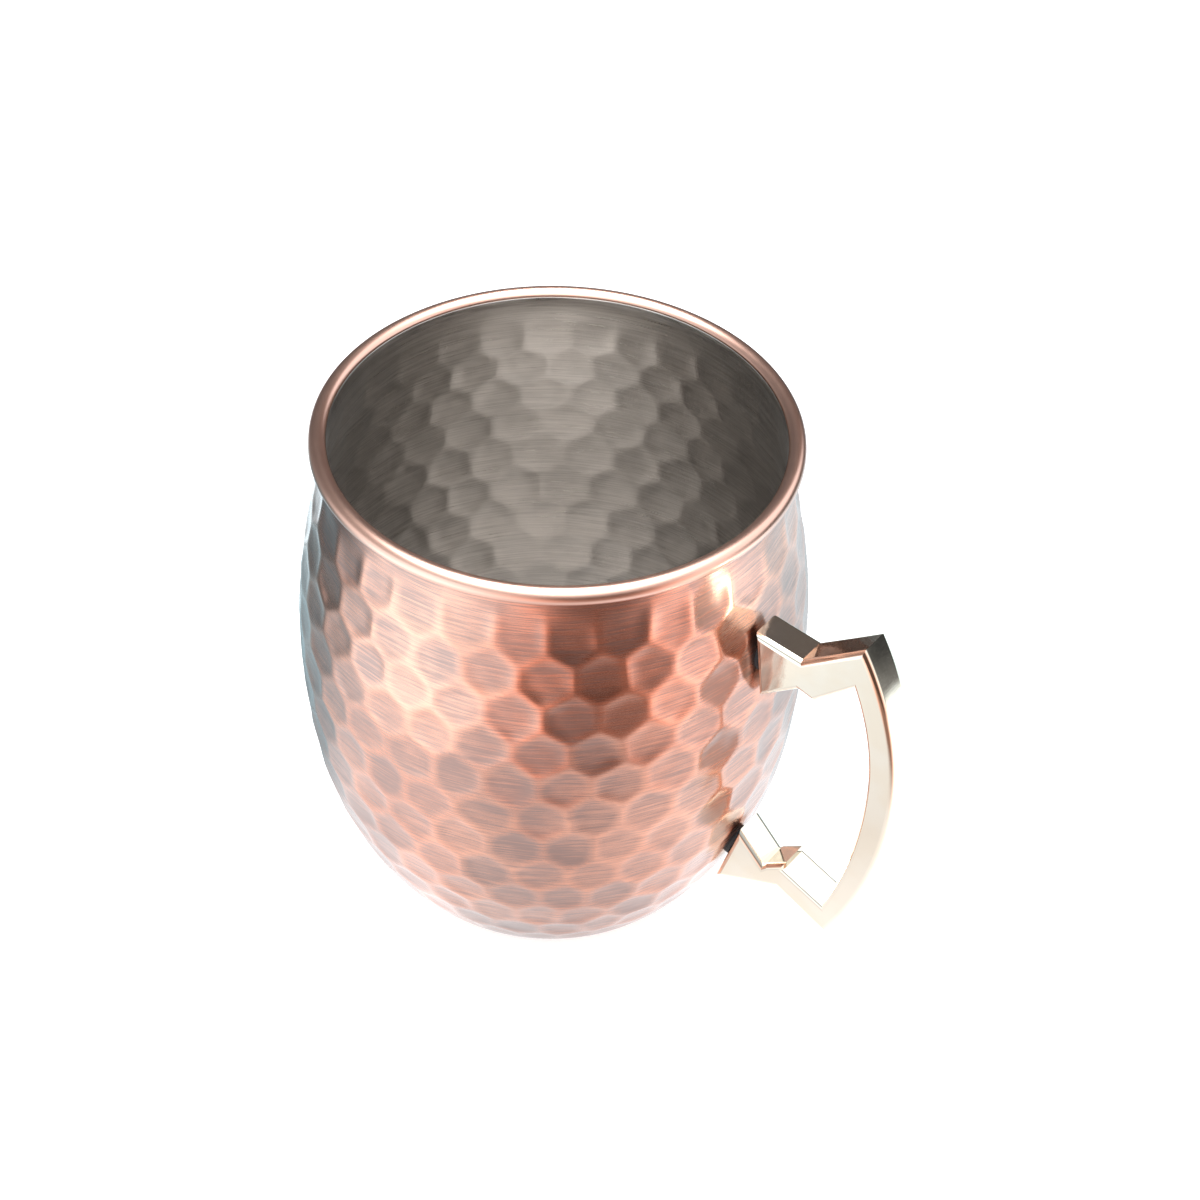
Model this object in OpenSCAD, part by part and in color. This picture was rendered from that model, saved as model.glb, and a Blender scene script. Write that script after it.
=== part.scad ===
// Barrel-shaped drinking mug: a copper shell over a stainless steel liner, with a rolled
// rim and a cast, faceted handle held by two screws.
// Millimetres. The origin is the centre of the foot ring, +Z is up and +X is towards the handle.

/* [Cup] */
// Height from the foot ring to the top of the rim
cup_h = 97.4; // [95:0.2:100]
// Radius of the belly, the widest place
belly_r = 45.7; // [45:0.1:46.5]
// Height of the belly above the foot ring
belly_z = 55.3; // [54:0.1:57]
// Upright radius of the wall above the belly
shoulder_arc = 111; // [100:1:125]
// Lean of the straight wall under the neck, in degrees
shoulder_lean = 10.5; // [9:0.1:11.5]
// Upright radius of the hollow neck under the rim
neck_arc = 20; // [16:1:24]
// Upright radius of the wall just below the belly
waist_arc = 157; // [140:1:175]
// Angle over which the waist arc runs, in degrees
waist_sweep = 8; // [6:0.2:10]
// Upright radius of the lower wall
lower_arc = 67.3; // [64:0.1:70]
// Thickness of the copper shell
copper_t = 0.5; // [0.4:0.05:0.6]
// Thickness of the steel liner
steel_t = 0.5; // [0.4:0.05:0.6]

/* [Rim] */
// Radius of the rolled bead's section
bead_r = 1.67; // [1.5:0.01:1.8]
// Where the copper hem starts on the bead's inner side, in degrees above level
hem_start = 20; // [10:5:40]
// How far the steel's root runs below level before it is all wall, in degrees
root_drop = 8; // [5:1:12]
// Where the steel curl ends under the bead, in degrees below level
curl_end = 60; // [40:5:80]

/* [Base] */
// Radius that rounds the wall into the foot ring
foot_arc = 6; // [5:0.1:7]
// Radius of the hollow under the base
recess_r = 24; // [22:0.1:25]
// Depth of the hollow under the base
recess_h = 1.2; // [0.8:0.1:1.5]
// How far the hollow's wall leans inwards
recess_lean = 0.8; // [0.4:0.1:1.2]

/* [Handle] */
// Width of the handle across its flat flanks
handle_w = 6.9; // [6:0.1:8]
// Reach of the bow from the cup's axis
bow_reach = 74.1; // [73:0.1:75]
// Height of the bow's furthest point
bow_z = 55; // [54:0.1:56]
// Thickness of the bow at its furthest point
bow_t = 5.3; // [4.6:0.1:5.8]
// Outer radius of the bow above its furthest point
bow_upper_arc = 56; // [54:0.5:58]
// Outer radius of the bow below its furthest point
bow_lower_arc = 80.5; // [78:0.5:83]
// Inner radius of the bow below its furthest point
bow_inner_arc = 91; // [88:0.5:94]

/* [Fastening] */
// Diameter of the screws' shanks
screw_d = 3; // [2.6:0.1:3.2]
// Diameter of the screws' domed heads
head_d = 7.4; // [6.8:0.1:8]
// Height of the screws' domed heads
head_h = 1.6; // [1.4:0.1:2]
// Depth of the tapped hole in each foot
thread_depth = 5; // [4:0.2:5.4]
// Space between each foot's flat back and the wall at the screw
foot_gap = 0.6; // [0.5:0.05:0.8]
// Diameter of the saddle spacers
spacer_d = 5.8; // [5.2:0.1:6.2]
// Diameter of the sealing washers
seal_d = 8.4; // [8:0.1:9]
// Thickness of the sealing washers
seal_t = 0.8; // [0.6:0.1:1]

/* [Hidden] */
$fn = 120;
ARC_FN = 1440;                // facets of the bow's large arcs
FIT_FN = 720;                 // facets of the wall where a small piece is shaped to it
sag = 0.01;                   // how far the wall's upright arcs may flatten
FAR = 100;                    // beyond every outline
OVER = 1;                     // how far a cut runs past the face it opens
HOLE_BACK = 8;                // where the wall's holes start, behind a foot's back
OUTER_RUN = 20;               // how far the ramps are drawn past the bow's outside
INNER_RUN = 8;                // how far the arms' inner faces are drawn past the bow's inside
SPACER_STOCK = 2;             // thickness a spacer is shaped from

copper = "#c98462";
steel = "#a89a90";
gold = "#ecd3a4";
dark = "#262320";

wall_t = copper_t + steel_t;
bead_z = cup_h - bead_r;
clearance = 0.05;             // around the screws, in the two sheets
tip_space = 0.4;              // left between a screw's tip and the bottom of its hole
upper_seat_share = 0.51;      // how far up its foot's back each screw sits
lower_seat_share = 0.56;

// The wall's upright arcs. Each meets the next in a common tangent.
shoulder_c = [belly_r - shoulder_arc, belly_z];
shoulder_end = shoulder_c + shoulder_arc * [cos(shoulder_lean), sin(shoulder_lean)];
neck_start_z = bead_z - neck_arc * sin(shoulder_lean);
neck_start_r = shoulder_end.x - (neck_start_z - shoulder_end.y) * tan(shoulder_lean);
neck_c = [neck_start_r + neck_arc * cos(shoulder_lean), bead_z];
waist_c = [belly_r - waist_arc, belly_z];
lower_c = waist_c + (waist_arc - lower_arc) * [cos(waist_sweep), -sin(waist_sweep)];
foot_drop = lower_c.y - foot_arc;
foot_c = [lower_c.x + sqrt(pow(lower_arc - foot_arc, 2) - pow(foot_drop, 2)), foot_arc];
foot_angle = asin(foot_drop / (lower_arc - foot_arc));
// The bead rolls outwards from the wall's inner face.
bead_c = [neck_c.x - neck_arc - wall_t + bead_r, bead_z];

// The handle's outline, seen from the side: X outwards, Z up.
upper_foot_top = [44.4, 77.2];
upper_foot_bottom = [46.1, 63.6];
upper_notch = [53.7, 76.1];
thumb_ramp = [64.6, 84.3];
upper_arm_low = [53.7, 69.5];
upper_arm_step = [56.9, 68.7];
upper_arm_inner = [64.4, 75.8];
lower_foot_top = [44.4, 29.3];
lower_foot_bottom = [40.1, 15];
lower_notch = [49.8, 23.8];
stop_left = [50.4, 24.5];
stop_top = [54.4, 27.2];
stop_foot = [54.4, 25.7];
lower_arm_inner = [62.7, 22.2];
lower_arm_low = [53.3, 20.6];
tip = [63.9, 15.6];

// Each screw runs square to its foot's flat back.
upper_axis = foot_axis(upper_foot_bottom, upper_foot_top);
lower_axis = foot_axis(lower_foot_bottom, lower_foot_top);
upper_seat = along(upper_foot_bottom, upper_foot_top, upper_seat_share);
lower_seat = along(lower_foot_bottom, lower_foot_top, lower_seat_share);

// Angle of the outward normal of a foot's back, in degrees above level
function foot_axis(low, high) = atan2(low.x - high.x, high.y - low.y);
// A point part of the way from a to b
function along(a, b, share) = a + (b - a) * share;
// A point beyond b on the line from a through b
function beyond(a, b, extra) = b + extra * (b - a) / norm(b - a);

// ---- the cup's section, set in by an even depth ----

// Points along an arc, without its first one. They are close enough to keep within "sag" of it.
function arc(centre, radius, inset, from, to) =
    let (steps = ceil(abs(to - from) * PI / 180 * sqrt(radius / (8 * sag))))
    [for (k = [1:steps]) let (a = from + (to - from) * k / steps)
        centre + (radius + inset) * [cos(a), sin(a)]];

// Everything inside the face that lies "inset" under the wall's outer face, up to the bead's centre
module wall_fill(inset) {
    polygon(concat(
        [[0, inset], [foot_c.x, inset]],
        arc(foot_c, foot_arc, -inset, -90, -foot_angle),
        arc(lower_c, lower_arc, -inset, -foot_angle, -waist_sweep),
        arc(waist_c, waist_arc, -inset, -waist_sweep, 0),
        arc(shoulder_c, shoulder_arc, -inset, 0, shoulder_lean),
        [neck_c - (neck_arc + inset) * [cos(shoulder_lean), sin(shoulder_lean)]],
        arc(neck_c, neck_arc, inset, 180 + shoulder_lean, 180),
        [[0, bead_z]]
    ));
}

// The hollow under the base, grown by the same depth
module base_hollow(inset) {
    polygon([
        [0, -OVER],
        [recess_r + inset + OVER * recess_lean / recess_h, -OVER],
        [recess_r + inset, 0],
        [recess_r + inset - recess_lean, recess_h + inset],
        [0, recess_h + inset]
    ]);
}

module cup_section(inset, bead) {
    difference() {
        wall_fill(inset);
        base_hollow(inset);
    }
    if (bead > 0) translate(bead_c) circle(r = bead);
}

// ---- the screws' places ----

// Stands a shape made along +Z on a foot's back, with +Z pointing out of the cup
module at_foot(seat, angle) {
    translate([seat.x, 0, seat.y]) rotate([0, 90 - angle, 0]) children();
}

module screw_holes() {
    for (place = [[upper_seat, upper_axis], [lower_seat, lower_axis]])
        at_foot(place[0], place[1])
            translate([0, 0, -HOLE_BACK])
                cylinder(d = screw_d + 2 * clearance, h = HOLE_BACK + OVER);
}

// ---- sub-parts ----

module copper_shell() color(copper) difference() {
    rotate_extrude() difference() {
        cup_section(0, bead_r);
        cup_section(copper_t, bead_r - copper_t);
        bead_root();
    }
    screw_holes();
}

module steel_liner() color(steel) difference() {
    rotate_extrude() difference() {
        union() {
            cup_section(copper_t, bead_r - copper_t);
            bead_root();
        }
        cup_section(wall_t, 0);
        curl_hollow();
    }
    screw_holes();
}

// The bead's inner side, where the steel turns over the rim before the copper covers it
module bead_root() {
    reach = 2 * bead_r;
    translate(bead_c) intersection() {
        circle(r = bead_r);
        polygon([
            [0, 0],
            reach * [-cos(root_drop), -sin(root_drop)],
            reach * [-cos(hem_start), sin(hem_start)]
        ]);
    }
}

// The space inside the curled lip, open underneath
module curl_hollow() {
    reach = 2 * bead_r;
    translate(bead_c) {
        circle(r = bead_r - wall_t);
        intersection() {
            circle(r = bead_r);
            polygon([[0, 0], reach * [cos(curl_end), -sin(curl_end)], [0, -reach]]);
        }
    }
}

// Outer limit of the bow: two arcs that meet at its furthest point
module bow_limit(reach, upper, lower) {
    intersection() {
        translate([reach - upper, bow_z]) circle(r = upper, $fn = ARC_FN);
        translate([0, bow_z]) square([FAR, FAR]);
    }
    intersection() {
        translate([reach - lower, bow_z]) circle(r = lower, $fn = ARC_FN);
        translate([0, bow_z - FAR]) square([FAR, FAR]);
    }
}

module handle_outline() {
    thumb = beyond(upper_notch, thumb_ramp, OUTER_RUN);
    heel = beyond(lower_arm_low, tip, OUTER_RUN);
    thumb_inner = beyond(upper_arm_step, upper_arm_inner, INNER_RUN);
    heel_inner = beyond(stop_foot, lower_arm_inner, INNER_RUN);
    difference() {
        intersection() {
            polygon([
                upper_foot_top, upper_notch, thumb, heel,
                lower_arm_low, lower_foot_bottom, lower_foot_top, upper_foot_bottom
            ]);
            bow_limit(bow_reach, bow_upper_arc, bow_lower_arc);
        }
        intersection() {
            polygon([
                [0, upper_foot_bottom.y], upper_foot_bottom, upper_arm_low, upper_arm_step,
                thumb_inner, heel_inner, stop_foot, stop_top, stop_left, lower_notch,
                lower_foot_top, [0, lower_foot_top.y]
            ]);
            bow_limit(bow_reach - bow_t, bow_upper_arc - bow_t, bow_inner_arc);
        }
    }
}

module handle() color(gold) difference() {
    rotate([90, 0, 0]) linear_extrude(handle_w, center = true) handle_outline();
    for (place = [[upper_seat, upper_axis], [lower_seat, lower_axis]])
        at_foot(place[0], place[1])
            translate([0, 0, -OVER]) cylinder(d = screw_d, h = thread_depth + OVER);
}

// Flat against the foot, and shaped to the cup's wall on its other side
module spacer(seat, angle) color(dark) difference() {
    at_foot(seat, angle) translate([0, 0, -SPACER_STOCK]) difference() {
        cylinder(d = spacer_d, h = SPACER_STOCK);
        translate([0, 0, -OVER]) cylinder(d = screw_d + 2 * clearance, h = SPACER_STOCK + 2 * OVER);
    }
    rotate_extrude($fn = FIT_FN) wall_fill(0);
}

// Shaped to the inside of the wall, and flat under the screw's head
module seal(seat, angle) color(dark) intersection() {
    at_foot(seat, angle) translate([0, 0, -seal_face()]) difference() {
        cylinder(d = seal_d, h = seal_face());
        translate([0, 0, -OVER]) cylinder(d = screw_d + 2 * clearance, h = seal_face() + 2 * OVER);
    }
    rotate_extrude($fn = FIT_FN) wall_fill(wall_t);
}

// How far the screw head's flat face lies behind the foot's back
function seal_face() = foot_gap + wall_t + seal_t;

module screw(seat, angle) color(steel) at_foot(seat, angle) {
    // shank, a little short of the bottom of its hole
    shank = seal_face() + thread_depth - tip_space;
    translate([0, 0, -seal_face()]) cylinder(d = screw_d, h = shank);
    // domed head, a slice of a sphere
    dome_r = (pow(head_d / 2, 2) + pow(head_h, 2)) / (2 * head_h);
    translate([0, 0, -seal_face()]) intersection() {
        translate([0, 0, dome_r - head_h]) sphere(r = dome_r);
        translate([0, 0, -head_h]) cylinder(d = head_d, h = head_h);
    }
}

module upper_spacer() spacer(upper_seat, upper_axis);
module lower_spacer() spacer(lower_seat, lower_axis);
module upper_screw() screw(upper_seat, upper_axis);
module lower_screw() screw(lower_seat, lower_axis);
module upper_seal() seal(upper_seat, upper_axis);
module lower_seal() seal(lower_seat, lower_axis);

copper_shell();
steel_liner();
handle();
upper_spacer();
lower_spacer();
upper_screw();
lower_screw();
upper_seal();
lower_seal();
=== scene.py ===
"""Hammered copper mug: the looks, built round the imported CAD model.

The shells are rebuilt as sheets with the hammered honeycomb pressed through them, and the handle
as a casting with rounded edges. Lengths in the shape code are millimetres and are scaled by MM at
the end. The studio is in metres.
"""

import math

import bpy
import numpy as np
from mathutils import Matrix, Vector


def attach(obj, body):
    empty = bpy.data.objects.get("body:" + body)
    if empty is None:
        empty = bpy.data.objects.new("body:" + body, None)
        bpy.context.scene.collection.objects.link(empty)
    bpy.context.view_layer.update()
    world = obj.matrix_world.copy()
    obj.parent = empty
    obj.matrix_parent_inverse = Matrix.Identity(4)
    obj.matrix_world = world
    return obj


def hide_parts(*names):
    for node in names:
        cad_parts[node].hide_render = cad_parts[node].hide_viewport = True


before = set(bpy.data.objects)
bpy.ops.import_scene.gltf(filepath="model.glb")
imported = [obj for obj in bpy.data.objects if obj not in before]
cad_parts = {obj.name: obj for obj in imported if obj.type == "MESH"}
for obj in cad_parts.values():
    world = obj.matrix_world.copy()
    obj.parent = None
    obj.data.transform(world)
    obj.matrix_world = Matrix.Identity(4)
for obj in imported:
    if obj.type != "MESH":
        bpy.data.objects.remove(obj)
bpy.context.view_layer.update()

MM = 0.001
BODY = "root"
SEED = 11

# ---------------------------------------------------------------- the wall's profile, as in the CAD source
COPPER_T = 0.5
WALL_T = 1.0
BELLY_R, BELLY_Z = 45.7, 55.3
SHOULDER_ARC, NECK_ARC, WAIST_ARC, LOWER_ARC, FOOT_ARC = 111.0, 20.0, 157.0, 67.3, 6.0
LEAN = math.radians(10.5)
WAIST_SWEEP = math.radians(8)
BEAD_R = 1.67
BEAD_Z = 95.73
HEM_END = math.radians(160)
RECESS_R, RECESS_H, RECESS_LEAN = 24.0, 1.2, 0.8

shoulder_c = (BELLY_R - SHOULDER_ARC, BELLY_Z)
shoulder_end = (
    shoulder_c[0] + SHOULDER_ARC * math.cos(LEAN),
    shoulder_c[1] + SHOULDER_ARC * math.sin(LEAN),
)
neck_start_z = BEAD_Z - NECK_ARC * math.sin(LEAN)
neck_start_r = shoulder_end[0] - (neck_start_z - shoulder_end[1]) * math.tan(LEAN)
neck_c = (neck_start_r + NECK_ARC * math.cos(LEAN), BEAD_Z)
waist_c = (BELLY_R - WAIST_ARC, BELLY_Z)
lower_c = (
    waist_c[0] + (WAIST_ARC - LOWER_ARC) * math.cos(WAIST_SWEEP),
    waist_c[1] - (WAIST_ARC - LOWER_ARC) * math.sin(WAIST_SWEEP),
)
foot_drop = lower_c[1] - FOOT_ARC
foot_c = (lower_c[0] + math.sqrt((LOWER_ARC - FOOT_ARC) ** 2 - foot_drop**2), FOOT_ARC)
foot_angle = math.asin(foot_drop / (LOWER_ARC - FOOT_ARC))
bead_c = (neck_c[0] - NECK_ARC - WALL_T + BEAD_R, BEAD_Z)


def arc_piece(centre, radius, start, end, side):
    """An arc of the wall: its length, and the point and outward normal a share u of the way along it."""

    def at(u):
        a = start + (end - start) * u
        c, s = math.cos(a), math.sin(a)
        return (centre[0] + radius * c, centre[1] + radius * s, side * c, side * s)

    return radius * abs(end - start), at


def line_piece(a, b, normal):
    """A straight stretch of the wall, from a to b."""

    def at(u):
        return (a[0] + (b[0] - a[0]) * u, a[1] + (b[1] - a[1]) * u, normal[0], normal[1])

    return math.dist(a, b), at


WALL = [
    arc_piece(neck_c, NECK_ARC, math.pi, math.pi + LEAN, -1),
    line_piece((neck_start_r, neck_start_z), shoulder_end, (math.cos(LEAN), math.sin(LEAN))),
    arc_piece(shoulder_c, SHOULDER_ARC, LEAN, 0, 1),
    arc_piece(waist_c, WAIST_ARC, 0, -WAIST_SWEEP, 1),
    arc_piece(lower_c, LOWER_ARC, -WAIST_SWEEP, -foot_angle, 1),
    arc_piece(foot_c, FOOT_ARC, -foot_angle, -math.pi / 2, 1),
]
WALL_LENGTH = sum(length for length, _ in WALL)


def wall_at(s):
    """Radius, height and outward normal of the outer wall, s millimetres down it from the bead's level."""
    for length, at in WALL:
        if s <= length:
            return at(s / length)
        s -= length
    return WALL[-1][1](1.0)


# ---------------------------------------------------------------- the hammered honeycomb
CELLS = 30
CELL_DEG = 360 / CELLS
ROW_PHASE = (-2.1, 3.9)
ROW_S = [9.3, 17.4, 25.0, 32.6, 40.2, 48.3, 56.1, 63.9, 71.5, 79.1, 86.3, 93.8]
RIM_BAND = (3.2, 8.5)
FOOT_BAND = (90.0, 96.0)
DISH = 0.27
STEP = 0.08
RIDGE_W = 2.4
CELL_HALF = 4.0
CORNER_SOFT = 0.45
SEATS = ((45.23, 70.54), (42.51, 23.01))
SEAT_CLEAR = (4.2, 7.5)
SKIN_INSET = 0.02
SHIFT_SPREAD = (0.6, 0.42)
DEPTH_SHARE = (0.75, 1.2)
TILT_SPREAD = 0.015
SAME_CELL = 1e-6
NO_EDGE = 1e9

random = np.random.default_rng(SEED)
cell_shift = random.normal(0, 1, (len(ROW_S), CELLS, 2)) * SHIFT_SPREAD
cell_tone = random.uniform(0, 1, (len(ROW_S), CELLS))
cell_depth = random.uniform(*DEPTH_SHARE, (len(ROW_S), CELLS))
cell_tilt = random.normal(0, TILT_SPREAD, (len(ROW_S), CELLS, 2))


def smooth(x, low, high):
    """0 below low, 1 above high, and a smooth step between."""
    t = np.clip((x - low) / (high - low), 0, 1)
    return t * t * (3 - 2 * t)


def relief(phi, s, radius, height):
    """How deep the hammering goes at each point, how far its ridge is, and a tone for its cell."""
    dx, dy, row, col = [], [], [], []
    for k, row_s in enumerate(ROW_S):
        nearest = np.round((phi - ROW_PHASE[k % 2]) / CELL_DEG)
        for step in (-1, 0, 1):
            j = (nearest + step).astype(int)
            cell = j % CELLS
            centre = ROW_PHASE[k % 2] + CELL_DEG * j
            dx.append(np.radians(phi - centre) * radius - cell_shift[k, cell, 0])
            dy.append(s - row_s - cell_shift[k, cell, 1])
            row.append(np.full(phi.shape, k))
            col.append(cell)
    dx, dy, row, col = map(np.array, (dx, dy, row, col))
    square = dx**2 + dy**2
    best = square.argmin(0)[None]
    pick = lambda values: np.take_along_axis(values, best, 0)[0]
    near, bx, by = pick(square), pick(dx), pick(dy)
    apart = np.hypot(bx - dx, by - dy)
    gap = np.where(apart > SAME_CELL, (square - near) / (2 * np.maximum(apart, SAME_CELL)), NO_EDGE)
    least = gap.min(0)
    edge = least - CORNER_SOFT * np.log(np.exp((least - gap) / CORNER_SOFT).sum(0))
    edge = np.clip(edge, 0, None)
    row, col = pick(row), pick(col)
    inside = smooth(edge, 0, RIDGE_W)
    bowl = 1 - (1 - np.clip(edge / CELL_HALF, 0, 1)) ** 2
    depth = (STEP * inside + DISH * bowl) * cell_depth[row, col]
    tilt = cell_tilt[row, col]
    depth = depth + inside * (tilt[..., 0] * bx + tilt[..., 1] * by)
    fade = smooth(s, *RIM_BAND) * (1 - smooth(s, *FOOT_BAND))
    x, y = radius * np.cos(np.radians(phi)), radius * np.sin(np.radians(phi))
    for seat_r, seat_z in SEATS:
        away = np.sqrt((x - seat_r) ** 2 + y**2 + (height - seat_z) ** 2)
        fade = fade * smooth(away, *SEAT_CLEAR)
    return np.clip(depth, 0, None) * fade + SKIN_INSET, edge, cell_tone[row, col], fade


# ---------------------------------------------------------------- sheets of revolution
COLUMNS = 400
WALL_ROWS = 158
HIDDEN_ROWS = 26
LINER_RELIEF = 0.6
BEAD_JOIN_S = 1.555
BEAD_JOIN_ANGLE = math.radians(-111.4)
BEAD_STEPS = 22
CURL_STEPS, CURL_BACK_STEPS = 4, 3
CURL_INSET = 0.05
LINER_TOP_S = 0.6
HIDDEN_TOP_S = 1.1
FOOT_RING_IN = 1.0
STEP_OUT = (0.25, 0.1)
STEP_UP = (0.12, 0.15)
BASE_RADII = (18.0, 12.0, 6.0, 1.5)


def wall_rings(inset, rows, top):
    """Rings (radius, height, normal, s) down the wall at a depth below its outer surface."""
    rings = []
    for s in np.linspace(top, WALL_LENGTH, rows):
        r, z, nr, nz = wall_at(s)
        rings.append((r - inset * nr, z - inset * nz, nr, nz, s))
    return rings


def base_rings(inset):
    """Rings from the foot ring to the middle of the base, which is set up inside it."""
    lean = RECESS_LEAN / (RECESS_H + inset)
    wide, narrow = STEP_OUT
    after_edge, before_floor = STEP_UP
    edge_r, floor_r = RECESS_R + inset - lean * inset, RECESS_R + inset - RECESS_LEAN
    points = [
        (foot_c[0] - FOOT_RING_IN, inset),
        (edge_r + wide, inset),
        (edge_r - narrow, inset + after_edge),
        (floor_r + narrow, RECESS_H + inset - before_floor),
        (floor_r - wide, RECESS_H + inset),
    ]
    points += [(r, RECESS_H + inset) for r in BASE_RADII]
    return [(r, z, 0.0, -1.0, WALL_LENGTH + foot_c[0] - r) for r, z in points]


def bead_rings(radius, start, end, steps, zone_s):
    """Rings round the bead at a radius from its centre."""
    rings = []
    for a in np.linspace(start, end, steps):
        c, s = math.cos(a), math.sin(a)
        rings.append((bead_c[0] + radius * c, bead_c[1] + radius * s, c, s, zone_s))
    return rings


def sheet(name, skin, back, skin_relief, flip):
    """A closed sheet: its seen rings, then its hidden rings, each ending at a point on the axis."""
    phi = np.arange(COLUMNS) * 360 / COLUMNS
    cos, sin = np.cos(np.radians(phi)), np.sin(np.radians(phi))
    rings = np.array(skin + back)
    r, z, nr, nz, s = (rings[:, k : k + 1] * np.ones(COLUMNS) for k in range(5))
    grid_phi = np.ones((len(rings), 1)) * phi
    grid_row = np.arange(len(rings))[:, None]
    on_wall = (s > 0) & (s < WALL_LENGTH)
    depth, edge, tone, fade = relief(grid_phi, s, np.maximum(r, 1.0), z)
    depth = np.where(on_wall, depth, SKIN_INSET)
    edge = np.where(on_wall, edge, CELL_HALF)
    depth = depth * np.where(grid_row < len(skin), skin_relief, 1.0)
    r2, z2 = r - depth * nr, z - depth * nz * on_wall
    points = np.stack([r2 * cos, r2 * sin, z2], -1).reshape(-1, 3) * MM
    poles = np.array([(0, 0, skin[-1][1]), (0, 0, back[0][1])]) * MM
    points = np.vstack([points, poles])
    count = len(rings)
    faces = []
    pole_row = len(skin) - 1
    nxt = np.roll(np.arange(COLUMNS), -1)
    for k in range(count):
        here, there = k * COLUMNS, ((k + 1) % count) * COLUMNS
        if k == pole_row:
            first, second = count * COLUMNS, count * COLUMNS + 1
            faces += [(here + j, first, here + nxt[j]) for j in range(COLUMNS)]
            faces += [(second, there + j, there + nxt[j]) for j in range(COLUMNS)]
        else:
            faces += [(here + j, there + j, there + nxt[j], here + nxt[j]) for j in range(COLUMNS)]
    if flip:
        faces = [f[::-1] for f in faces]
    mesh = bpy.data.meshes.new(name)
    mesh.from_pydata(points.tolist(), [], [tuple(int(i) for i in f) for f in faces])
    mesh.shade_smooth()
    for key, values in (("edge", edge), ("tone", tone), ("hammered", fade * on_wall), ("along", s)):
        attribute = mesh.attributes.new(key, "FLOAT", "POINT")
        flat = np.append(values.ravel(), (values.ravel()[-1],) * 2)
        attribute.data.foreach_set("value", flat.astype(np.float32))
    made = bpy.data.objects.new(name, mesh)
    bpy.context.scene.collection.objects.link(made)
    return made


hem = bead_rings(BEAD_R - SKIN_INSET, HEM_END, BEAD_JOIN_ANGLE, BEAD_STEPS, 0.0)
hem_back = bead_rings(BEAD_R - COPPER_T, BEAD_JOIN_ANGLE, HEM_END, BEAD_STEPS // 2, 0.0)
copper = sheet(
    "copper_skin",
    hem + wall_rings(0, WALL_ROWS, BEAD_JOIN_S) + base_rings(0),
    base_rings(COPPER_T)[::-1] + wall_rings(COPPER_T, HIDDEN_ROWS, HIDDEN_TOP_S)[::-1] + hem_back,
    1.0,
    False,
)
curl = bead_rings(BEAD_R - CURL_INSET, HEM_END, math.pi, CURL_STEPS, 0.0)
curl_back = bead_rings(BEAD_R - COPPER_T - SKIN_INSET, math.pi, HEM_END, CURL_BACK_STEPS, 0.0)
liner = sheet(
    "steel_skin",
    curl + wall_rings(WALL_T, WALL_ROWS, LINER_TOP_S) + base_rings(WALL_T),
    base_rings(COPPER_T)[::-1] + wall_rings(COPPER_T, HIDDEN_ROWS, HIDDEN_TOP_S)[::-1] + curl_back,
    LINER_RELIEF,
    True,
)


# ---------------------------------------------------------------- the cast handle
HANDLE_W = 6.9
ROUND = 1.1
ROUND_STEPS = 6
CORNER = math.radians(12)
BOW_Z, BOW_REACH, BOW_INSIDE = 55.0, 74.1, 68.8
BOW_STEPS = (26, 30, 26, 20)


def bow_circle(reach, radius):
    """Centre and radius of a circle that is upright where it is furthest out, at the bow's level."""
    return (reach - radius, BOW_Z), radius


OUTER_UPPER, OUTER_LOWER = bow_circle(BOW_REACH, 56.0), bow_circle(BOW_REACH, 80.5)
INNER_UPPER, INNER_LOWER = bow_circle(BOW_INSIDE, 50.7), bow_circle(BOW_INSIDE, 91.0)
UPPER_FOOT_TOP, UPPER_FOOT_BOTTOM, UPPER_ARM_LOW = (44.4, 77.2), (46.1, 63.6), (53.7, 69.5)
LOWER_FOOT_TOP, LOWER_FOOT_BOTTOM, LOWER_NOTCH = (44.4, 29.3), (40.1, 15.0), (49.8, 23.8)
STOP_LEFT, STOP_TOP = (50.4, 24.5), (54.4, 27.2)
UPPER_NOTCH, THUMB_RAMP = (53.7, 76.1), (64.6, 84.3)
UPPER_ARM_STEP, UPPER_ARM_INNER = (56.9, 68.7), (64.4, 75.8)
LOWER_ARM_LOW, TIP = (53.3, 20.6), (63.9, 15.6)
STOP_FOOT, LOWER_ARM_INNER = (54.4, 25.7), (62.7, 22.2)


def meets(a, b, circle):
    """Where the line from a through b leaves a circle, as an angle about the circle's centre."""
    (cx, cz), radius = circle
    dx, dz = b[0] - a[0], b[1] - a[1]
    length = math.hypot(dx, dz)
    dx, dz = dx / length, dz / length
    px, pz = a[0] - cx, a[1] - cz
    half = px * dx + pz * dz
    t = -half + math.sqrt(half * half - (px * px + pz * pz - radius * radius))
    return math.atan2(pz + t * dz, px + t * dx)


def bow(circle, start, end, steps):
    """Points along a circle, from one angle to another."""
    (cx, cz), radius = circle
    return [(cx + radius * math.cos(a), cz + radius * math.sin(a)) for a in np.linspace(start, end, steps)]


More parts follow.
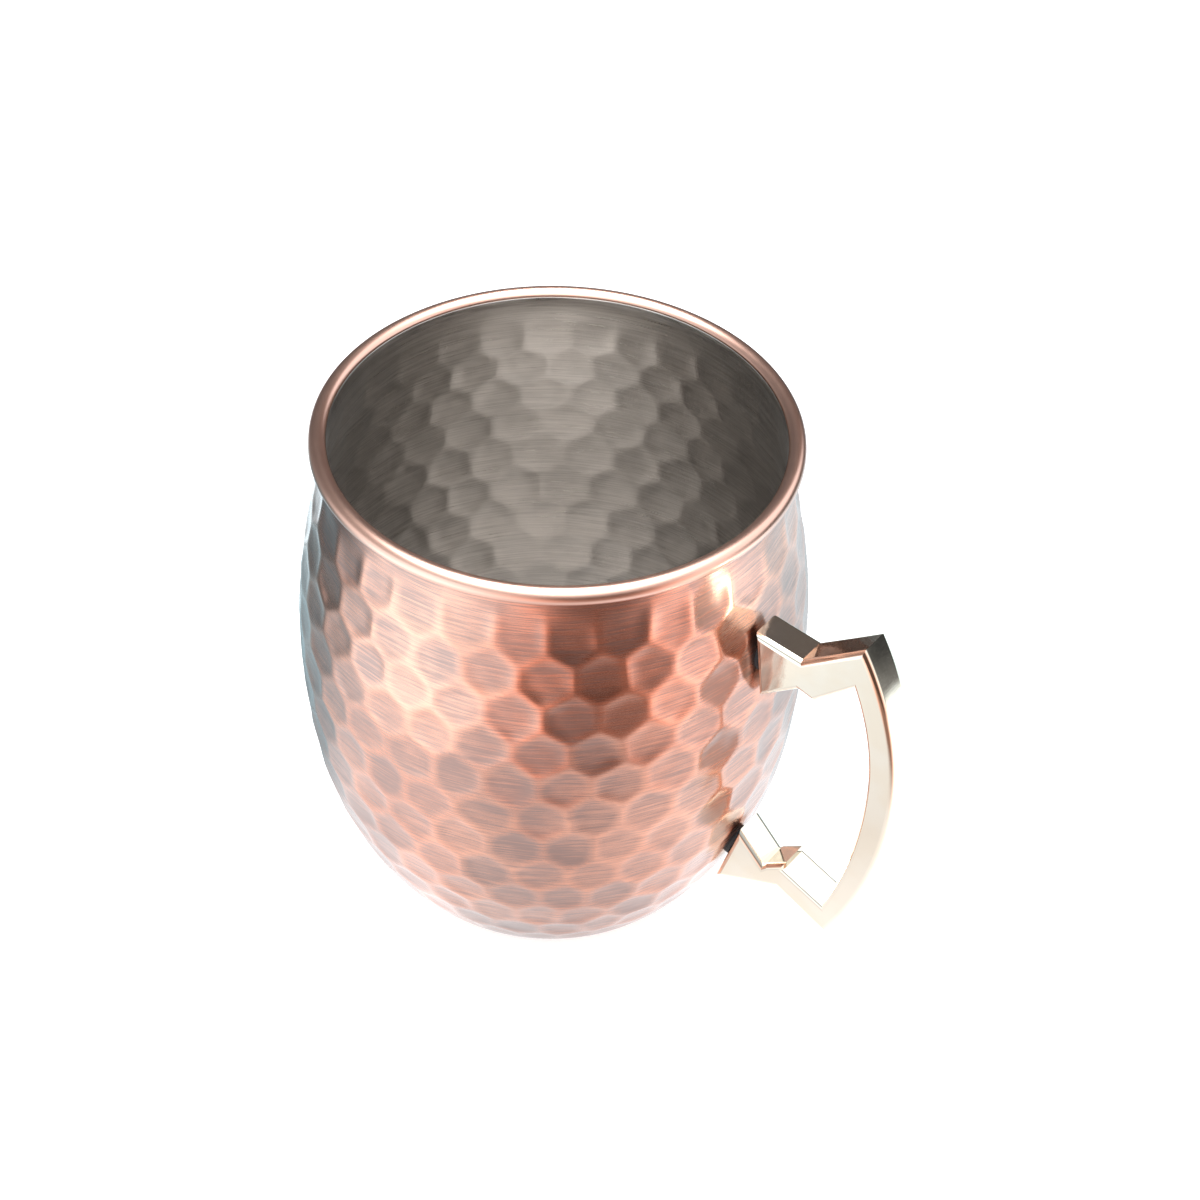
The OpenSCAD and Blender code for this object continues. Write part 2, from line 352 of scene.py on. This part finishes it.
thumb_angle = meets(UPPER_NOTCH, THUMB_RAMP, OUTER_UPPER)
tip_angle = meets(LOWER_ARM_LOW, TIP, OUTER_LOWER)
crook_low = meets(STOP_FOOT, LOWER_ARM_INNER, INNER_LOWER)
crook_high = meets(UPPER_ARM_STEP, UPPER_ARM_INNER, INNER_UPPER)
outline = (
    [UPPER_FOOT_TOP, UPPER_NOTCH]
    + bow(OUTER_UPPER, thumb_angle, 0, BOW_STEPS[0])
    + bow(OUTER_LOWER, 0, tip_angle, BOW_STEPS[1])[1:]
    + [LOWER_ARM_LOW, LOWER_FOOT_BOTTOM, LOWER_FOOT_TOP, LOWER_NOTCH, STOP_LEFT, STOP_TOP, STOP_FOOT]
    + bow(INNER_LOWER, crook_low, 0, BOW_STEPS[2])
    + bow(INNER_UPPER, 0, crook_high, BOW_STEPS[3])[1:]
    + [UPPER_ARM_STEP, UPPER_ARM_LOW, UPPER_FOOT_BOTTOM]
)


def inward(distance):
    """The outline moved into the metal by a distance, its corners mitred."""
    moved = []
    for k, here in enumerate(outline):
        a, b, c = Vector(outline[k - 1]), Vector(here), Vector(outline[(k + 1) % len(outline)])
        first, second = (b - a).normalized(), (c - b).normalized()
        n1, n2 = Vector((first.y, -first.x)), Vector((second.y, -second.x))
        moved.append(b + (n1 + n2) * (distance / (1 + n1.dot(n2))))
    return moved


def casting(name):
    """The outline with the handle's width, its long edges rolled over and its corners left crisp."""
    half, count = HANDLE_W / 2, len(outline)
    turns = [math.pi / 2 * k / ROUND_STEPS for k in range(ROUND_STEPS + 1)]
    section = [(ROUND * (1 - math.sin(a)), half - ROUND + ROUND * math.cos(a)) for a in turns]
    section += [(inset, -y) for inset, y in section[::-1]]
    points = [(v.x * MM, y * MM, v.y * MM) for inset, y in section for v in inward(inset)]
    faces = [tuple(range(count)), tuple(range(len(points) - count, len(points)))[::-1]]
    for k in range(len(section) - 1):
        for j in range(count):
            here, nxt = k * count, (j + 1) % count
            faces.append((here + nxt, here + j, here + count + j, here + count + nxt))
    mesh = bpy.data.meshes.new(name)
    mesh.from_pydata(points, [], faces)
    mesh.shade_smooth()
    corner = []
    for k in range(count):
        before, here, after = (Vector(outline[(k + step) % count]) for step in (-1, 0, 1))
        corner.append((here - before).angle(after - here) > CORNER)
    sharp = mesh.attributes.new("sharp_edge", "BOOLEAN", "EDGE")
    for edge in mesh.edges:
        a, b = edge.vertices
        sharp.data[edge.index].value = a % count == b % count and corner[a % count]
    made = bpy.data.objects.new(name, mesh)
    bpy.context.scene.collection.objects.link(made)
    made.modifiers.new("flat_flanks", "WEIGHTED_NORMAL").keep_sharp = True
    bpy.context.view_layer.update()
    final = bpy.data.meshes.new_from_object(made.evaluated_get(bpy.context.evaluated_depsgraph_get()))
    made.modifiers.clear()
    made.data = final
    return made


handle = casting("cast_handle")


# ---------------------------------------------------------------- materials
class Graph:
    """Short calls for building a node material."""

    def __init__(self, name):
        self.material = bpy.data.materials.new(name)
        self.material.use_nodes = True
        self.nodes = self.material.node_tree.nodes
        self.links = self.material.node_tree.links
        self.nodes.clear()
        self.shader = self.nodes.new("ShaderNodeBsdfPrincipled")
        out = self.nodes.new("ShaderNodeOutputMaterial")
        self.links.new(self.shader.outputs[0], out.inputs[0])
        self.coords = self.nodes.new("ShaderNodeTexCoord").outputs["Object"]

    def turned(self):
        """Reads position as on a lathe: streaks then run round the cup on its wall and its base alike."""
        parts = self.nodes.new("ShaderNodeSeparateXYZ")
        self.links.new(self.coords, parts.inputs[0])
        joined = self.nodes.new("ShaderNodeCombineXYZ")
        self.links.new(parts.outputs[0], joined.inputs[0])
        self.links.new(parts.outputs[1], joined.inputs[1])
        self.links.new(self.math("MULTIPLY", self.attribute("along"), MM), joined.inputs[2])
        self.coords = joined.outputs[0]

    def put(self, socket, value):
        if isinstance(value, bpy.types.NodeSocket):
            self.links.new(value, socket)
        elif socket.type == "RGBA":
            socket.default_value = (*value, 1.0)
        else:
            socket.default_value = value

    def attribute(self, name):
        node = self.nodes.new("ShaderNodeAttribute")
        node.attribute_name = name
        return node.outputs["Fac"]

    def math(self, operation, a, b=0.0):
        node = self.nodes.new("ShaderNodeMath")
        node.operation = operation
        self.put(node.inputs[0], a)
        self.put(node.inputs[1], b)
        return node.outputs[0]

    def span(self, value, low, high, to_low, to_high, kind="SMOOTHSTEP"):
        node = self.nodes.new("ShaderNodeMapRange")
        node.interpolation_type = kind
        keys = ("Value", "From Min", "From Max", "To Min", "To Max")
        for key, v in zip(keys, (value, low, high, to_low, to_high)):
            self.put(node.inputs[key], v)
        return node.outputs[0]

    def noise(self, scale, detail=3.0, rough=0.55, shift=0.0):
        mapping = self.nodes.new("ShaderNodeMapping")
        self.put(mapping.inputs["Vector"], self.coords)
        self.put(mapping.inputs["Scale"], scale)
        self.put(mapping.inputs["Location"], (shift, shift, shift))
        node = self.nodes.new("ShaderNodeTexNoise")
        self.put(node.inputs["Vector"], mapping.outputs[0])
        self.put(node.inputs["Scale"], 1.0)
        self.put(node.inputs["Detail"], detail)
        self.put(node.inputs["Roughness"], rough)
        return node.outputs["Fac"]

    def mix(self, share, a, b):
        node = self.nodes.new("ShaderNodeMix")
        node.data_type = "RGBA"
        self.put(node.inputs["Factor"], share)
        colours = [socket for socket in node.inputs if socket.type == "RGBA"]
        self.put(colours[0], a)
        self.put(colours[1], b)
        return next(socket for socket in node.outputs if socket.type == "RGBA")

    def bump(self, height, strength, distance, normal=None):
        node = self.nodes.new("ShaderNodeBump")
        self.put(node.inputs["Height"], height)
        self.put(node.inputs["Strength"], strength)
        self.put(node.inputs["Distance"], distance)
        if normal is not None:
            self.links.new(normal, node.inputs["Normal"])
        return node.outputs[0]

    def around(self):
        """The direction round the cup, which the brushing follows."""
        node = self.nodes.new("ShaderNodeTangent")
        node.direction_type = "RADIAL"
        node.axis = "Z"
        return node.outputs[0]

    def finish(self, **sockets):
        for key, value in sockets.items():
            self.put(self.shader.inputs[key.replace("_", " ")], value)
        return self.material


def copper_material():
    g = Graph("hammered_copper")
    g.turned()
    hammered = g.attribute("hammered")
    # Nearness to a ridge, used below to paint the ridges lighter: a painted highlight along them.
    ridge = g.math("MULTIPLY", g.span(g.attribute("edge"), 0.0, 1.7, 1.0, 0.0), hammered)
    on_wall = g.span(g.attribute("along"), 0.5, 3.0, 0.0, 1.0)
    streak = g.noise((110, 110, 3600), 4.0, 0.65)
    fine = g.noise((260, 260, 9000), 2.0, 0.6, 3.0)
    cloud = g.noise((55, 55, 55), 3.0, 0.55, 7.0)
    cell = g.span(g.attribute("tone"), 0, 1, 0.6, 0.9)
    # Darkening toward brown from a random tone per cell, cloud and streaks. The ridges are taken off it so
    # they read lighter, a painted highlight.
    darkening_and_ridge_highlight = g.math("ADD", cell, g.span(cloud, 0.3, 0.7, -0.2, 0.2))
    darkening_and_ridge_highlight = g.math("ADD", darkening_and_ridge_highlight, g.span(streak, 0.32, 0.68, -0.3, 0.3))
    darkening_and_ridge_highlight = g.math("SUBTRACT", darkening_and_ridge_highlight, g.math("MULTIPLY", ridge, 0.38))
    darkening_and_ridge_highlight = g.math("MULTIPLY", darkening_and_ridge_highlight, on_wall)
    metal = g.mix(g.span(cloud, 0.35, 0.65, 0, 1), (0.94, 0.47, 0.33), (0.91, 0.41, 0.27))
    # The bead, off the wall, gets a paler pink copper so its reflections read lighter: a painted highlight
    # on the bead.
    metal = g.mix(on_wall, (0.92, 0.56, 0.44), metal)
    colour = g.mix(g.span(darkening_and_ridge_highlight, 0, 1, 0, 1, "LINEAR"), metal, (0.40, 0.255, 0.22))
    rough = g.span(g.math("ADD", darkening_and_ridge_highlight, g.span(fine, 0.3, 0.7, -0.1, 0.1)), 0, 1, 0.17, 0.34, "LINEAR")
    rough = g.math("ADD", rough, g.math("MULTIPLY", g.math("SUBTRACT", 1.0, on_wall), 0.12))
    brush = g.math("MULTIPLY", g.math("ADD", streak, g.math("MULTIPLY", fine, 0.6)), on_wall)
    return g.finish(
        Base_Color=colour,
        Metallic=1.0,
        Roughness=rough,
        Anisotropic=0.45,
        Anisotropic_Rotation=0.25,
        Tangent=g.around(),
        Coat_Weight=1.0,
        Coat_Roughness=0.16,
        Coat_IOR=1.5,
        Normal=g.bump(brush, 0.35, 0.00004),
    )


def steel_material(name, base, low, high):
    g = Graph(name)
    g.turned()
    streak = g.noise((70, 70, 3000), 5.0, 0.7)
    fine = g.noise((200, 200, 8000), 2.0, 0.6, 2.0)
    cloud = g.noise((60, 60, 60), 3.0, 0.5, 5.0)
    worn = g.math("ADD", g.span(streak, 0.3, 0.7, 0, 1), g.span(cloud, 0.3, 0.7, -0.3, 0.3))
    colour = g.mix(worn, tuple(0.7 * v for v in base), base)
    rough = g.span(g.math("ADD", streak, g.math("MULTIPLY", fine, 0.3)), 0.4, 0.9, low, high, "LINEAR")
    return g.finish(
        Base_Color=colour,
        Metallic=1.0,
        Roughness=rough,
        Anisotropic=0.5,
        Anisotropic_Rotation=0.25,
        Tangent=g.around(),
        Normal=g.bump(g.math("ADD", streak, fine), 0.4, 0.00004),
    )


def gold_material():
    g = Graph("pale_gold_casting")
    wave = g.noise((160, 160, 160), 2.0, 0.4)
    grain = g.noise((2600, 700, 2600), 3.0, 0.6, 4.0)
    colour = g.mix(g.span(wave, 0.35, 0.65, 0, 1), (1.0, 0.93, 0.80), (0.99, 0.90, 0.75))
    rough = g.span(grain, 0.3, 0.7, 0.05, 0.11)
    normal = g.bump(grain, 0.08, 0.00003, g.bump(wave, 0.25, 0.0002))
    return g.finish(Base_Color=colour, Metallic=1.0, Roughness=rough, Normal=normal)


# A rough rubber-like material, used for the grey seals and for the near-black spacers that paint the shade
# in the handle's gaps.
def rubber_and_gap_shade_material(name, base):
    g = Graph(name)
    grain = g.noise((1800, 1800, 1800), 4.0, 0.6)
    colour = g.mix(g.span(grain, 0.3, 0.7, 0, 1), base, tuple(1.5 * v for v in base))
    rough = g.span(grain, 0.3, 0.7, 0.45, 0.65)
    return g.finish(Base_Color=colour, Roughness=rough, Normal=g.bump(grain, 0.3, 0.00005))


def screw_material():
    g = Graph("screw_steel")
    grain = g.noise((2200, 2200, 2200), 4.0, 0.65)
    colour = g.mix(g.span(grain, 0.3, 0.7, 0, 1), (0.45, 0.43, 0.41), (0.6, 0.58, 0.55))
    return g.finish(
        Base_Color=colour,
        Metallic=1.0,
        Roughness=g.span(grain, 0.3, 0.7, 0.18, 0.3),
        Normal=g.bump(grain, 0.15, 0.00004),
    )


def paint(thing, material):
    """Gives a piece one material."""
    thing.data.materials.clear()
    thing.data.materials.append(material)


paint(copper, copper_material())
paint(liner, steel_material("brushed_steel", (0.655, 0.62, 0.585), 0.24, 0.44))
paint(handle, gold_material())
for piece, node, slot in (
    (copper, "copper_shell", "copper"),
    (liner, "steel_liner", "brushed_steel"),
    (handle, "handle", "pale_gold"),
):
    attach(piece, BODY)
    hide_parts(node)
small = {
    # The spacers are near black so the gap between each handle foot and the wall reads dark: painted shade
    # carried by a dark piece.
    "spacer": rubber_and_gap_shade_material("spacer_painted_shade", (0.02, 0.02, 0.022)),
    "seal": rubber_and_gap_shade_material("seal_rubber", (0.30, 0.30, 0.29)),
    "screw": screw_material(),
}
for node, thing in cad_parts.items():
    for word, material in small.items():
        if node.endswith(word):
            paint(thing, material)


# ---------------------------------------------------------------- floor, light and camera
def plain_material(name, colour, glow):
    g = Graph(name)
    white = (1.0, 1.0, 1.0)
    return g.finish(Base_Color=colour, Roughness=0.9, Emission_Color=white, Emission_Strength=glow)


TURN = math.radians(35)
SURROUND_R = 2.5
SURROUND_STEPS = 72
DOME_STEPS = 15
SURROUND_Z = 0.001
FLOOR_RINGS = (0.029, 0.05, 0.1, 0.14, 0.18, 0.24, 0.3, 0.4, 0.7, 1.2, 1.8)
# Brightness and warmth by direction, in degrees to the right of the camera's side: close under the
# object, on the floor nearby, on the floor further off, and above it up to the ceiling.
UNDER_TONES = (
    (-180, 1.1, -0.1), (-150, 1.1, -0.15), (-138, 1.1, -0.3), (-126, 0.5, -0.6), (-100, 0.45, -0.4),
    (-80, 1.1, 0), (-42, 1.3, 0.1), (-20, 0.95, 0), (15, 0.85, 0.1), (40, 1.1, 0.1), (60, 1.35, 0),
    (92, 1.2, -0.1), (115, 0.78, -0.2), (150, 0.7, -0.2), (180, 1.1, -0.1),
)
NEAR_TONES = (
    (-180, 1.7, -0.1), (-150, 1.7, -0.15), (-138, 1.7, -0.3), (-126, 0.2, -0.6), (-100, 0.15, -0.4),
    (-86, 0.85, -0.2), (-74, 1.9, -0.15), (-42, 1.9, -0.15), (-26, 1.5, 0), (-10, 1.15, 0.6), (0, 0.7, 1),
    (9, 0.24, 1), (31, 0.24, 1), (39, 0.7, 0.9), (48, 1.2, 0.5), (62, 1.8, 0.2), (72, 2.0, 0.15),
    (84, 2.0, 0), (94, 1.5, -0.2), (105, 1.1, -0.3), (150, 0.9, -0.2), (180, 1.7, -0.1),
)
FAR_TONES = (
    (-180, 0.1, 0), (-140, 0.12, 0), (-110, 0.3, 0), (-88, 1.2, 0), (-50, 1.6, -0.3), (-26, 1.1, 0),
    (-12, 0.8, 0.6), (2, 0.08, 1), (36, 0.08, 1), (50, 0.9, 0.8), (68, 1.4, 0.3), (80, 0.6, 0),
    (95, 0.04, 0), (120, 0.05, 0), (180, 0.1, 0),
)
SIDE_TONES = (
    (-180, 0.1, 0), (-138, 0.12, 0), (-112, 0.22, 0), (-60, 0.7, 0), (-30, 0.6, 0), (0, 0.45, 0),
    (50, 0.6, 0), (80, 1.3, 0), (134, 1.4, 0), (146, 0.12, 0.5), (180, 0.1, 0),
)
CEILING = 2.5
ZENITH = 1.25
CEILING_TIP = 0.12
TONE_SCALE = 3.2
# Where each ring of tones gives way to the next: metres from the axis, then radians above the floor.
UNDER_TO_NEAR, NEAR_TO_FAR = (0.09, 0.17), (0.27, 0.4)
FAR_TO_SIDE, SIDE_TO_CEILING, CEILING_TO_ZENITH = (0.17, 0.33), (0.8, 1.0), (1.15, 1.32)
COOL = (0.97, 1.0, 1.03)
WARM = (1.3, 0.74, 0.58)


def tone_ramp(g, angle, tones):
    """Light read off a list of (degrees, brightness, warmth), as a share of TONE_SCALE."""
    node = g.nodes.new("ShaderNodeValToRGB")
    stops = node.color_ramp.elements
    while len(stops) < len(tones):
        stops.new(0.5)
    for stop, (degrees, value, warmth) in zip(stops, tones):
        stop.position = (degrees + 180) / 360
        tint = (value / TONE_SCALE * (c + (w - c) * warmth) for c, w in zip(COOL, WARM))
        stop.color = (*tint, 1.0)
    g.links.new(g.span(angle, -math.pi, math.pi, 0, 1, "LINEAR"), node.inputs["Fac"])
    return node.outputs["Color"]


def surround_material():
    """What the metal sees round it: pale floor, darker towards the room, and a bright ceiling."""
    g = Graph("surround_face")
    parts = g.nodes.new("ShaderNodeSeparateXYZ")
    g.links.new(g.coords, parts.inputs[0])
    x, y, z = parts.outputs
    reach = g.math("SQRT", g.math("ADD", g.math("MULTIPLY", x, x), g.math("MULTIPLY", y, y)))
    angle = g.math("ARCTAN2", x, g.math("MULTIPLY", y, -1.0))
    rise = g.math("ARCTAN2", z, reach)
    under, near, far, side = (
        tone_ramp(g, angle, tones) for tones in (UNDER_TONES, NEAR_TONES, FAR_TONES, SIDE_TONES)
    )
    ceiling, zenith = (tuple(tone / TONE_SCALE * c for c in COOL) for tone in (CEILING, ZENITH))
    glow = g.mix(g.span(reach, *UNDER_TO_NEAR, 0, 1), under, near)
    glow = g.mix(g.span(reach, *NEAR_TO_FAR, 0, 1), glow, far)
    glow = g.mix(g.span(rise, *FAR_TO_SIDE, 0, 1), glow, side)
    tipped = g.math("SUBTRACT", rise, g.math("MULTIPLY", y, CEILING_TIP))
    glow = g.mix(g.span(tipped, *SIDE_TO_CEILING, 0, 1), glow, ceiling)
    glow = g.mix(g.span(rise, *CEILING_TO_ZENITH, 0, 1), glow, zenith)
    return g.finish(
        Base_Color=(0, 0, 0), Emission_Color=glow, Emission_Strength=TONE_SCALE, Specular_IOR_Level=0.0
    )


def surround():
    """A floor ring and dome that only reflections see."""
    rings = [(r, SURROUND_Z) for r in FLOOR_RINGS]
    for a in np.linspace(0, math.pi / 2, DOME_STEPS + 1)[:-1]:
        rings.append((SURROUND_R * math.cos(a), SURROUND_Z + SURROUND_R * math.sin(a)))
    points, faces = [], []
    for r, z in rings:
        for a in np.linspace(0, 2 * math.pi, SURROUND_STEPS, endpoint=False):
            points.append((r * math.cos(a), r * math.sin(a), z))
    for k in range(len(rings) - 1):
        for j in range(SURROUND_STEPS):
            here, there = k * SURROUND_STEPS, (k + 1) * SURROUND_STEPS
            nxt = (j + 1) % SURROUND_STEPS
            faces.append((here + j, here + nxt, there + nxt, there + j))
    last, top = (len(rings) - 1) * SURROUND_STEPS, len(points)
    points.append((0, 0, SURROUND_R))
    faces += [(last + j, last + (j + 1) % SURROUND_STEPS, top) for j in range(SURROUND_STEPS)]
    mesh = bpy.data.meshes.new("surround")
    mesh.from_pydata(points, [], faces)
    made = bpy.data.objects.new("surround", mesh)
    bpy.context.scene.collection.objects.link(made)
    made.rotation_euler = (0, 0, TURN)
    paint(made, surround_material())
    made.visible_camera = False
    made.visible_diffuse = False
    made.visible_shadow = False


FLOOR_HALF = 6.0
FLOOR_DROP = 0.2
floor_mesh = bpy.data.meshes.new("floor")
corners = [(FLOOR_HALF * x, FLOOR_HALF * y, 0) for x, y in ((-1, -1), (1, -1), (1, 1), (-1, 1))]
floor_mesh.from_pydata(corners, [], [(0, 1, 2, 3)])
floor = bpy.data.objects.new("floor", floor_mesh)
floor.location.z = -FLOOR_DROP * MM
bpy.context.scene.collection.objects.link(floor)
paint(floor, plain_material("pale_floor", (0.9, 0.9, 0.9), 0.6))

DIP = math.radians(41.69)
ROLL = 0.0357
CAMERA_AT = (0.2375, -0.3248, 0.4168)
ahead = Vector((-math.sin(TURN), math.cos(TURN), 0))
right = Vector((math.cos(TURN), math.sin(TURN), 0))
look = ahead * math.cos(DIP) - Vector((0, 0, 1)) * math.sin(DIP)
up = right.cross(look)
right_rolled = right * math.cos(ROLL) + up * math.sin(ROLL)
up_rolled = up * math.cos(ROLL) - right * math.sin(ROLL)
camera_data = bpy.data.cameras.new("camera")
camera_data.lens = 90
camera_data.sensor_width = 36
camera_data.sensor_fit = "HORIZONTAL"
camera = bpy.data.objects.new("camera", camera_data)
bpy.context.scene.collection.objects.link(camera)
basis = Matrix((right_rolled, up_rolled, -look)).transposed().to_4x4()
camera.matrix_world = Matrix.Translation(CAMERA_AT) @ basis
bpy.context.scene.camera = camera


def place(side, forward, height):
    """A point given to the right of the object, beyond it and above the floor, as the camera sees it."""
    return right * side + ahead * forward + Vector((0, 0, height))


def softbox(name, at, width, depth, power, aim=(0, 0, 0.05)):
    """A rectangular studio light."""
    data = bpy.data.lights.new(name, "AREA")
    data.shape = "RECTANGLE"
    data.size, data.size_y, data.energy = width, depth, power
    made = bpy.data.objects.new(name, data)
    bpy.context.scene.collection.objects.link(made)
    made.location = at
    made.rotation_euler = (Vector(aim) - Vector(at)).to_track_quat("-Z", "Y").to_euler()
    return made


softbox("top_light", place(-0.1, 0.1, 1.3), width=1.0, depth=0.8, power=14)
surround()

world = bpy.data.worlds.new("studio")
bpy.context.scene.world = world
world.use_nodes = True
background = world.node_tree.nodes["Background"]
background.inputs["Color"].default_value = (0.95, 0.97, 1.0, 1.0)
background.inputs["Strength"].default_value = 1.1
bpy.context.scene.view_settings.view_transform = "Standard"
